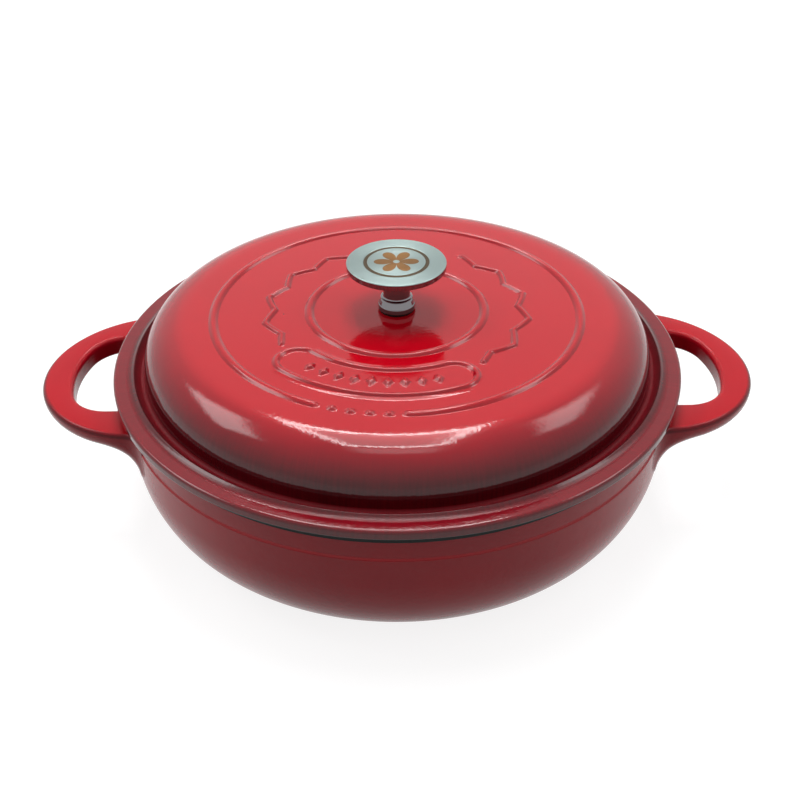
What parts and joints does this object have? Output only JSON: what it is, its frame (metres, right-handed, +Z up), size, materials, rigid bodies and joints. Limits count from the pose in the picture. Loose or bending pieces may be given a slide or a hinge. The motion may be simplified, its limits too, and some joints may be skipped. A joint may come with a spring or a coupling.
{
  "type": "covered casserole dish",
  "caption": "Shallow round enamelled cast-iron casserole with two loop handles and a domed lift-off lid with raised rings, a zigzag ridge and a turned steel knob.",
  "frame": {"origin": "middle of the flat underside of the pan, on the surface that it stands on", "axes": "+X along the two handles, +Z up through the knob, -Y towards the picture's camera"},
  "size_m": [0.37, 0.2894, 0.1289],
  "materials": {
    "pan_enamel": "glossy dark red enamel, pale inside, matt black rim",
    "lid_enamel": "glossy red enamel that darkens down the shoulder",
    "knob_steel": "turned and brushed stainless steel",
    "fastener_steel": "plain plated steel",
    "seal_rubber": "matt silicone"
  },
  "bodies": {
    "pan": {"pan": "pan_enamel"},
    "lid": {"lid": "lid_enamel", "knob_disc": "knob_steel", "knob_stem": "knob_steel", "knob_collar": "knob_steel", "knob_seal": "seal_rubber", "flat_washer": "fastener_steel", "spring_washer": "fastener_steel", "knob_screw": "fastener_steel"}
  },
  "joints": [
    {"name": "lid_lift", "type": "slide", "parent": "pan", "child": "lid", "axis": [0, 0, 1], "range_m": [0, 0.15]}
  ]
}
